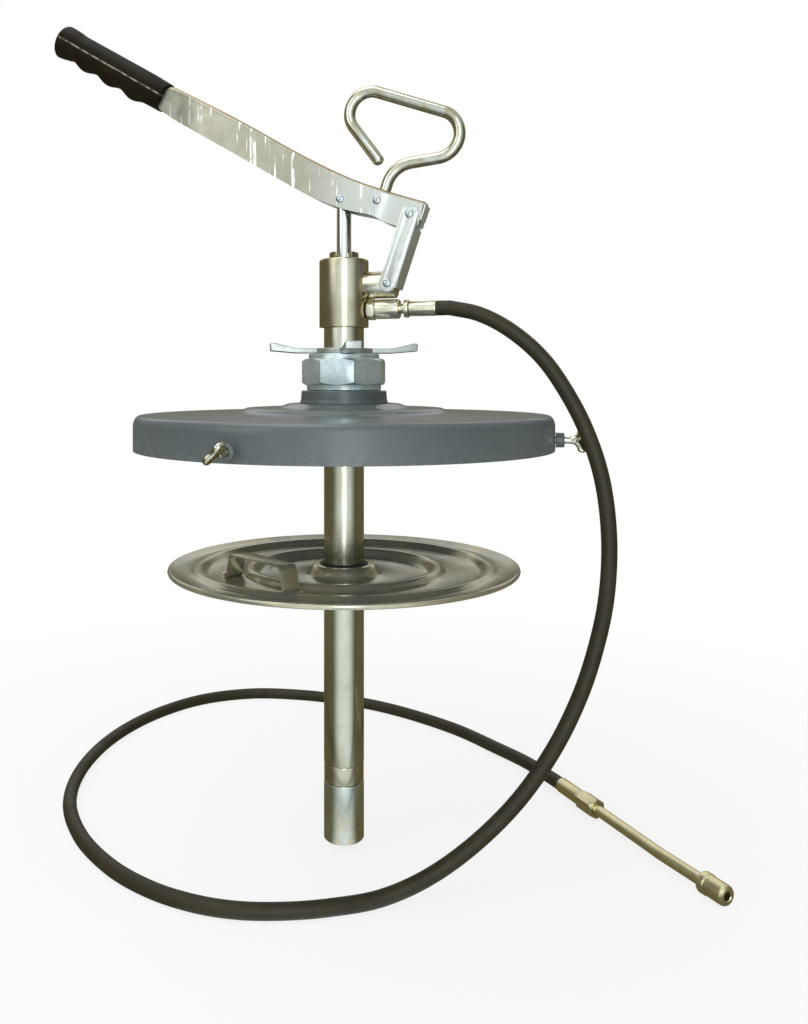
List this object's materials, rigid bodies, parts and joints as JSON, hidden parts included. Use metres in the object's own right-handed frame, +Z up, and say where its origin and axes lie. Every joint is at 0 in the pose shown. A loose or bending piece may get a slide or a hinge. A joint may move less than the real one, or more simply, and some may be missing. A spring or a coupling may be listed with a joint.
{
  "type": "gear oil pump",
  "caption": "Hand lever pump for gear oil on a round pail lid, with a clamped pump tube, follower plate, carrying loop, hose and nozzle.",
  "frame": {"origin": "on the pump's axis, in the plane where the lid's gasket rests on the pail's rim", "axes": "+Z up along the pump tube; the lever swings in the XZ plane with its grip towards -X and the oil outlet towards +X"},
  "size_m": [0.601, 0.5192, 0.7041],
  "materials": {
    "grey_paint": "semi-gloss grey paint",
    "bright_zinc": "bright zinc plate on pressed steel",
    "blue_zinc": "blue zinc plate",
    "olive_zinc": "yellow passivated zinc plate",
    "brushed_steel": "drawn and turned steel, satin",
    "chrome": "polished hard chrome",
    "brass": "turned brass",
    "black_rubber": "smooth black rubber",
    "plastic": "moulded black plastic, light sheen"
  },
  "bodies": {
    "lid": {"lid_cover": "grey_paint", "lid_skirt": "grey_paint", "neck_socket": "grey_paint", "rim_gasket": "black_rubber", "screw_boss_1": "grey_paint", "screw_boss_2": "grey_paint", "screw_boss_3": "grey_paint", "octagon_adapter": "blue_zinc", "clamp_seal": "black_rubber"},
    "clamp_ring": {"pressure_ring": "brass"},
    "star_nut": {"star_nut": "blue_zinc"},
    "pad_1": {"thumb_pad_1": "bright_zinc"},
    "screw_1": {"thumb_screw_1": "bright_zinc"},
    "pad_2": {"thumb_pad_2": "bright_zinc"},
    "screw_2": {"thumb_screw_2": "bright_zinc"},
    "pad_3": {"thumb_pad_3": "bright_zinc"},
    "screw_3": {"thumb_screw_3": "bright_zinc"},
    "pump": {"pump_tube": "brushed_steel", "foot_band": "brushed_steel", "pump_foot": "brushed_steel", "foot_valve_seat": "brass", "foot_valve_cage": "brass", "pump_head": "brushed_steel", "rod_packing": "black_rubber", "gland_nut": "brushed_steel", "link_bracket": "bright_zinc", "link_foot_pin": "bright_zinc", "outlet_nipple": "olive_zinc", "outlet_swivel": "olive_zinc", "hose_tail": "olive_zinc", "hose_ferrule": "olive_zinc", "hose": "black_rubber", "end_ferrule": "olive_zinc", "nozzle_nut": "olive_zinc", "nozzle_pipe": "olive_zinc", "grease_coupler": "olive_zinc"},
    "foot_ball": {"foot_valve_ball": "chrome"},
    "rod": {"piston_rod": "chrome", "piston": "brass", "cup_seal_1": "black_rubber", "cup_seal_2": "black_rubber", "lever_pin": "bright_zinc"},
    "rod_ball": {"piston_ball": "chrome"},
    "lever": {"lever_channel": "bright_zinc", "grip": "plastic", "carry_loop": "bright_zinc", "loop_rivet": "bright_zinc"},
    "link": {"link": "bright_zinc", "link_top_pin": "bright_zinc"},
    "follower": {"follower_plate": "olive_zinc", "follower_wiper": "black_rubber", "strap_handle": "olive_zinc", "strap_rivet_1": "olive_zinc", "strap_rivet_2": "olive_zinc"}
  },
  "joints": [
    {"name": "clamp_ring_lift", "type": "slide", "parent": "lid", "child": "clamp_ring", "axis": [0, 0, 1], "range_m": [0, 0.004]},
    {"name": "star_nut_turn", "type": "hinge", "parent": "clamp_ring", "child": "star_nut", "pos_m": [0, 0, 0.0536], "axis": [0, 0, 1], "range_deg": [0, 720]},
    {"name": "pad_1_slide", "type": "slide", "parent": "lid", "child": "pad_1", "axis": [0.1566, 0.9877, 0], "range_m": [-0.002, 0.004]},
    {"name": "screw_1_turn", "type": "hinge", "parent": "pad_1", "child": "screw_1", "pos_m": [-0.02661, -0.1679, -0.0152], "axis": [0.1566, 0.9877, 0], "range_deg": [-722, 1442]},
    {"name": "pad_2_slide", "type": "slide", "parent": "lid", "child": "pad_2", "axis": [-0.9962, -0.0869, 0], "range_m": [-0.002, 0.004]},
    {"name": "screw_2_turn", "type": "hinge", "parent": "pad_2", "child": "screw_2", "pos_m": [0.16936, 0.01477, -0.0152], "axis": [-0.9962, -0.0869, 0], "range_deg": [-722, 1442]},
    {"name": "pad_3_slide", "type": "slide", "parent": "lid", "child": "pad_3", "axis": [0.6811, -0.7322, 0], "range_m": [-0.002, 0.004]},
    {"name": "screw_3_turn", "type": "hinge", "parent": "pad_3", "child": "screw_3", "pos_m": [-0.11578, 0.12448, -0.0152], "axis": [0.6811, -0.7322, 0], "range_deg": [-722, 1442]},
    {"name": "pump_slide", "type": "slide", "parent": "lid", "child": "pump", "axis": [0, 0, 1], "range_m": [-0.008, 0.04]},
    {"name": "foot_ball_lift", "type": "slide", "parent": "pump", "child": "foot_ball", "axis": [0, 0, 1], "range_m": [0, 0.0035]},
    {"name": "rod_slide", "type": "slide", "parent": "pump", "child": "rod", "axis": [0, 0, 1], "range_m": [-0.03, 0.009]},
    {"name": "rod_ball_lift", "type": "slide", "parent": "rod", "child": "rod_ball", "axis": [0, 0, 1], "range_m": [0, 0.004]},
    {"name": "lever_swing", "type": "hinge", "parent": "rod", "child": "lever", "pos_m": [0, 0, 0.1793], "axis": [0, -1, 0], "range_deg": [-8, 28]},
    {"name": "link_swing", "type": "hinge", "parent": "pump", "child": "link", "pos_m": [0.0394, 0, 0.1094], "axis": [0, 1, 0], "range_deg": [-2, 4]},
    {"name": "follower_slide", "type": "slide", "parent": "pump", "child": "follower", "axis": [0, 0, 1], "range_m": [-0.13, 0.055]}
  ],
  "couplings": [
    {"joint": "clamp_ring_lift", "follows": "star_nut_turn", "m_per_rad": 0.000318},
    {"joint": "screw_1_turn", "follows": "pad_1_slide", "rad_per_m": 6283.2},
    {"joint": "screw_2_turn", "follows": "pad_2_slide", "rad_per_m": 6283.2},
    {"joint": "screw_3_turn", "follows": "pad_3_slide", "rad_per_m": 6283.2},
    {"joint": "rod_slide", "follows": "lever_swing", "m_per_rad": -0.0604},
    {"joint": "link_swing", "follows": "lever_swing", "ratio": 0.09}
  ]
}
